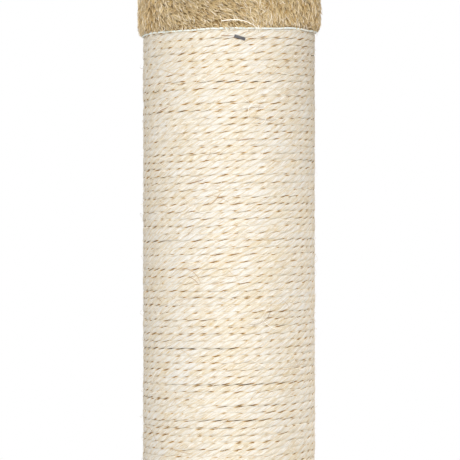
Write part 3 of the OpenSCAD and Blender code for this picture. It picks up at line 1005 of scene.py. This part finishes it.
def filled_out(piece, seams, cap, floor_z):
    """Cloth blown up a little between its seams and applied, with no point moved further than cap."""
    count = len(piece.data.vertices)
    before = np.empty(count * 3, np.float32)
    piece.data.vertices.foreach_get("co", before)
    group = piece.vertex_groups.new(name="seams")
    group.add([int(i) for i in seams], 1.0, "REPLACE")
    cloth = piece.modifiers.new("filling", "CLOTH")
    cloth.settings.use_pressure = True
    cloth.settings.uniform_pressure_force = 4.0
    cloth.settings.effector_weights.gravity = 0.0
    cloth.settings.vertex_group_mass = "seams"
    cloth.point_cache.frame_start = 1
    cloth.point_cache.frame_end = 20
    for number in range(1, 21):
        scene.frame_set(number)
    after = mesh_arrays(piece)[0].ravel()
    piece.modifiers.remove(cloth)
    piece.vertex_groups.clear()
    scene.frame_set(1)
    before = before.reshape(-1, 3).astype(float)
    move = after.reshape(-1, 3) - before
    far = np.linalg.norm(move, axis=1, keepdims=True)
    after = before + move * np.minimum(1, cap / np.maximum(far, 1e-9))
    after[:, 2] = np.maximum(after[:, 2], floor_z)
    piece.data.vertices.foreach_set("co", after.astype(np.float32).ravel())
    piece.data.update()


def finished_pad(piece, node):
    smoother = piece.modifiers.new("smooth", "SUBSURF")
    smoother.levels = smoother.render_levels = 1
    settle(piece, node)


def stuffed_spots(piece, lowest, rng):
    """Where the hairs of a stuffed piece grow, higher than lowest."""
    points, normals = scatter(*mesh_arrays(piece), HAIRS_PER_M2, rng)
    shown = points[:, 2] > lowest
    return points[shown], normals[shown]


def square_path(half, bend, spacing):
    """Points and outward directions round a square with rounded corners."""
    points, outward = [], []
    run = 2 * (half - bend)
    for k in range(4):
        n = round(run / spacing)
        t = np.linspace(-run / 2, run / 2, n, endpoint=False)
        side_points = np.stack([np.full(n, half), t], 1)
        side_out = np.tile([1.0, 0.0], (n, 1))
        m = round(bend * math.pi / 2 / (spacing * 0.55))
        a = np.linspace(0, math.pi / 2, m, endpoint=False)
        arc = np.stack([np.cos(a), np.sin(a)], 1)
        q = np.concatenate([side_points, run / 2 + bend * arc])
        d = np.concatenate([side_out, arc])
        turn = np.array([[0, -1], [1, 0]]) if k % 2 else np.eye(2)
        sign = -1 if k >= 2 else 1
        points.append(sign * q @ turn.T)
        outward.append(sign * d @ turn.T)
    return np.concatenate(points), np.concatenate(outward)


def bed_bolster(rng):
    """A stuffed ring in four panels, flat where it rests on the bed."""
    low, high = node_box("bed_bolster")
    centre = (low + high) / 2
    tube_r, flat_by = 32 * mm, 6 * mm
    half, bend = (high[0] - low[0]) / 2 - tube_r, 46 * mm
    path, outward = square_path(half, bend, 6 * mm)
    stations, columns = len(path), 30
    around = np.arange(columns) / columns * 2 * math.pi
    # four panels, seamed across at the corners, and one long seam low on the inner side
    across_seam = np.zeros(stations, bool)
    for quarter in range(4):
        spin = math.radians(45 + 90 * quarter)
        across_seam[np.argmax(path @ [math.cos(spin), math.sin(spin)])] = True
    seam_at = np.flatnonzero(across_seam)
    away = np.abs(np.arange(stations)[:, None] - seam_at[None, :])
    away = np.minimum(away, stations - away).min(1)
    pinch = np.exp(-((away / 1.6) ** 2))
    long_seam = round(columns * 205 / 360)
    off_long = np.abs(np.arange(columns) - long_seam)
    off_long = np.minimum(off_long, columns - off_long)
    line = np.column_stack([path, np.zeros(stations)])
    puff = smooth_noise(line, 0.055, 1401, 2)
    inner = np.clip(-np.cos(around), 0, 1)
    in_bend = np.clip((outward**2).min(1) * 4, 0, 1)
    gathers = in_bend[:, None] * inner[None, :] * np.cos(np.arange(stations) * 2.1)[:, None]
    r = 26.0 * mm + 1.2 * mm * puff[:, None] - 3.4 * mm * pinch[:, None]
    r = r - 2.2 * mm * np.exp(-((off_long / 1.2) ** 2))[None, :] - 1.1 * mm * gathers
    tube_z = low[2] + tube_r - flat_by
    verts = np.stack([
        centre[0] + path[:, 0:1] + outward[:, 0:1] * r * np.cos(around),
        centre[1] + path[:, 1:2] + outward[:, 1:2] * r * np.cos(around),
        tube_z + r * np.sin(around)], -1)
    rest_z = low[2] + 0.4 * mm
    verts[..., 2] = np.maximum(verts[..., 2], rest_z)
    faces = grid_faces(stations, columns, True, True)[:, ::-1]
    bolster = make_mesh("bed_bolster_tube", verts.reshape(-1, 3), faces, STUFFED)
    index = np.arange(stations * columns).reshape(stations, columns)
    seams = np.unique(np.concatenate([index[across_seam].ravel(), index[:, long_seam]]))
    filled_out(bolster, seams, 5 * mm, rest_z)
    finished_pad(bolster, "bed_bolster")
    points, normals = stuffed_spots(bolster, low[2] + 3 * mm, rng)
    flat_place = points[:, :2] - centre[:2]
    beyond = np.maximum(np.abs(flat_place) - (half - bend), 0)
    straight = beyond.min(1) <= 0
    larger = np.abs(flat_place[:, 0]) > np.abs(flat_place[:, 1])
    beyond[straight] = np.column_stack([larger, ~larger])[straight]
    out_dir = unit(np.column_stack([np.sign(flat_place) * beyond, np.zeros(len(points))]))
    comb = out_dir * normals[:, 2:3] - np.array([0, 0, 1.0]) * (normals * out_dir).sum(1, keepdims=True)
    swirl = 0.5 * smooth_noise(points, 0.07, 1411, 2)[:, None]
    comb = comb + swirl * np.cross(normals, comb)
    pile("bed_bolster_pile", points, normals, comb, 10.5 * mm, 1.1 * mm, 1412, clump=0.45,
         slot="stuffed_plush")


def bed_cushion(rng):
    """A loose cushion with one seam round its sides."""
    low, high = node_box("bed_cushion")
    centre, size = (low + high) / 2, high - low
    # (inset, height) from the middle of its underside, out to the seam and back to the middle of its top
    middle = size[0] / 2 - 0.2 * mm
    seam_z, rest_z, shoulder_z = low[2] + 0.42 * size[2], low[2] + 0.6 * mm, high[2] - 7.5 * mm
    steps = [(inset, rest_z) for inset in np.linspace(middle, 24 * mm, 18)]
    for q in np.linspace(0, 1, 6)[1:-1]:
        steps.append((24 * mm * (1 - q) ** 1.6 + 7 * mm, rest_z + (seam_z - low[2] - 0.6 * mm) * q**1.5))
    steps.append((6 * mm, seam_z))
    for q in np.linspace(0, 1, 8)[1:]:
        steps.append((7 * mm + 30 * mm * q**1.5, seam_z + (shoulder_z - seam_z) * (1 - (1 - q) ** 2)))
    for q in np.linspace(0, 1, 19)[1:]:
        inset = 37 * mm + (middle - 37 * mm) * q
        steps.append((inset, shoulder_z + 3.5 * mm * math.sin(q * math.pi / 2)))
    verts, rows, columns = lofted(size[0], size[1], 40 * mm, centre[:2], steps)
    spoke = np.arctan2(verts[:, 1] - centre[1], verts[:, 0] - centre[0])
    rim = np.hypot(verts[:, 0] - centre[0], verts[:, 1] - centre[1]) / (size[0] / 2)
    pull = 5.5 * mm * np.cos(2 * spoke) ** 2 * np.clip(rim, 0, 1) ** 3
    verts[:, :2] -= (pull / np.maximum(rim * size[0] / 2, 1e-6))[:, None] * (verts[:, :2] - centre[:2])
    faces = grid_faces(rows, columns, wrap_columns=True)
    first, last = verts[:columns].mean(0), verts[-columns:].mean(0)
    verts = np.concatenate([verts, [first, last]])
    ring = np.arange(columns)
    after, top_row = (ring + 1) % columns, (rows - 1) * columns
    caps = np.concatenate([np.stack([np.full(columns, len(verts) - 2), after, ring], 1),
                           np.stack([np.full(columns, len(verts) - 1), top_row + ring, top_row + after], 1)])
    cushion = make_mesh("bed_cushion_pad", verts, [faces, caps], STUFFED)
    seam_row = steps.index((6 * mm, seam_z))
    filled_out(cushion, np.arange(columns) + seam_row * columns, 7 * mm, rest_z)
    finished_pad(cushion, "bed_cushion")
    points, normals = stuffed_spots(cushion, low[2] + 3 * mm, rng)
    swirl = 0.5 * smooth_noise(points, 0.08, 1421, 2)
    comb = np.column_stack([0.3 + swirl, -1.0 + 0.4 * np.roll(swirl, 7), np.zeros(len(points))])
    pile("bed_cushion_pile", points, normals, comb, 10.0 * mm, 1.1 * mm, 1422, clump=0.45, ruffle=15,
         slot="stuffed_plush")


rng = np.random.default_rng(1410)
bed_bolster(rng)
bed_cushion(rng)

# ---------------- floor
FLOOR_TURNS = 96


def white_floor():
    """A white disc to stand on, clear towards its rim."""
    radii = np.array([0.0, 0.2, 0.5, 0.8, 1.0, 1.2, 1.3])[:, None]
    turns = np.arange(FLOOR_TURNS) / FLOOR_TURNS * 2 * math.pi
    verts = np.stack([radii * np.cos(turns), radii * np.sin(turns), radii * turns * 0], -1).reshape(-1, 3)
    t = Tree("floor")
    grain = t.noise(t.place(), 90.0, 3.0, 0.5)
    white = t.mix(t.remap(grain, 0.3, 0.7), (0.80, 0.80, 0.80), (0.84, 0.84, 0.84))
    t.finish(white, 0.6, Specular_IOR_Level=0.2)
    length = t.add("ShaderNodeVectorMath", operation="LENGTH")
    t.link(t.place(), length.inputs[0])
    t.put(t.shader.inputs["Alpha"], t.remap(length.outputs["Value"], 0.75, 1.28, 1.0, 0.0))
    faces = grid_faces(len(radii), FLOOR_TURNS, wrap_columns=True)
    floor = make_mesh("floor", verts, faces, t.material)
    floor.location.z = -0.0002
    floor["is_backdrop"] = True


white_floor()

low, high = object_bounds()
